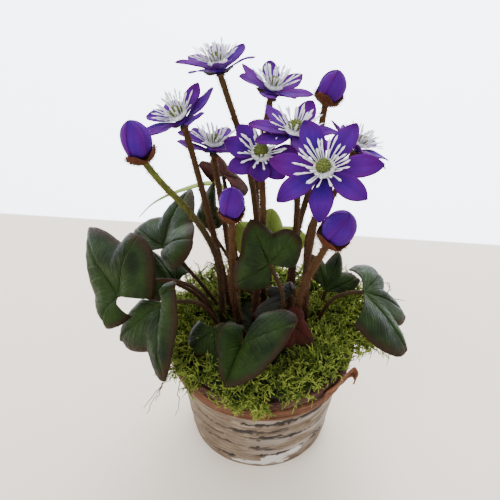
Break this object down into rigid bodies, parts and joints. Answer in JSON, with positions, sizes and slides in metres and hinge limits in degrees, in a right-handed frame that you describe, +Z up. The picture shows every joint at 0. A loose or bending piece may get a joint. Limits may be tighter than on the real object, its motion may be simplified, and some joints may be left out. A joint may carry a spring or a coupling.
{
  "type": "potted hepatica",
  "caption": "Potted hepatica: violet star-shaped flowers and buds on hairy stalks, three-lobed leaves and moss in a round birch bark pot with a flat base.",
  "frame": {"origin": "centre of the pot's flat base, on the surface it stands on", "axes": "+Z up along the pot, -Y towards the front of the plant, +X to its right seen from the front"},
  "size_m": [0.1666, 0.1094, 0.2177],
  "materials": {
    "liner": "dark moulded inner cup, matt",
    "birch_bark": "peeling birch bark, grey and off-white with dark bands, matt",
    "strip_orange": "orange-brown bark strip, fibrous",
    "strip_red": "red-brown bark strip, fibrous",
    "strip_grey": "grey-brown bark strip, fibrous",
    "soil": "dark crumbly dry filling",
    "moss": "dry dyed moss, yellow-green, fine branching strands",
    "petal": "violet-blue woven petal cloth with a soft sheen",
    "stamen": "white, matt",
    "carpel": "yellow-green, bumpy",
    "stem": "brown flocked stalk, hairy",
    "leaf": "dark green printed leaf cloth with purple-brown edges and paler veins",
    "leaf_young": "reddish dark leaf cloth",
    "leaf_pale": "thin pale green leaf cloth",
    "strap": "thin pale green leaf cloth"
  },
  "bodies": {
    "root": {"liner_cup": "liner", "birch_bark_wrap": "birch_bark", "rim_strip_outer": "strip_orange", "rim_strip_middle": "strip_red", "rim_strip_inner": "strip_grey", "soil_filling": "soil", "moss": "moss", "flower_1_stem": "stem", "flower_1_petals": "petal", "flower_1_stamens": "stamen", "flower_1_carpels": "carpel", "flower_2_stem": "stem", "flower_2_petals": "petal", "flower_2_stamens": "stamen", "flower_2_carpels": "carpel", "flower_3_stem": "stem", "flower_3_petals": "petal", "flower_3_stamens": "stamen", "flower_3_carpels": "carpel", "flower_4_stem": "stem", "flower_4_petals": "petal", "flower_4_stamens": "stamen", "flower_4_carpels": "carpel", "flower_5_stem": "stem", "flower_5_petals": "petal", "flower_5_stamens": "stamen", "flower_5_carpels": "carpel", "flower_6_stem": "stem", "flower_6_petals": "petal", "flower_6_stamens": "stamen", "flower_6_carpels": "carpel", "flower_7_stem": "stem", "flower_7_petals": "petal", "flower_7_stamens": "stamen", "flower_7_carpels": "carpel", "flower_8_stem": "stem", "flower_8_petals": "petal", "flower_8_stamens": "stamen", "flower_8_carpels": "carpel", "bud_1_stem": "stem", "bud_1_tepals": "petal", "bud_2_stem": "stem", "bud_2_tepals": "petal", "bud_3_stem": "stem", "bud_3_tepals": "petal", "bud_4_stem": "stem", "bud_4_tepals": "petal", "leaf_far_left": "leaf", "leaf_low_left": "leaf", "leaf_back_left_low": "leaf", "leaf_back_left_high": "leaf", "leaf_back_centre": "leaf_pale", "leaf_centre": "leaf", "leaf_front": "leaf", "leaf_front_left": "leaf", "leaf_right": "leaf", "leaf_back_right": "leaf", "small_leaves_front": "leaf_young", "small_leaves_back": "leaf", "leaf_strap": "strap"}
  },
  "joints": []
}
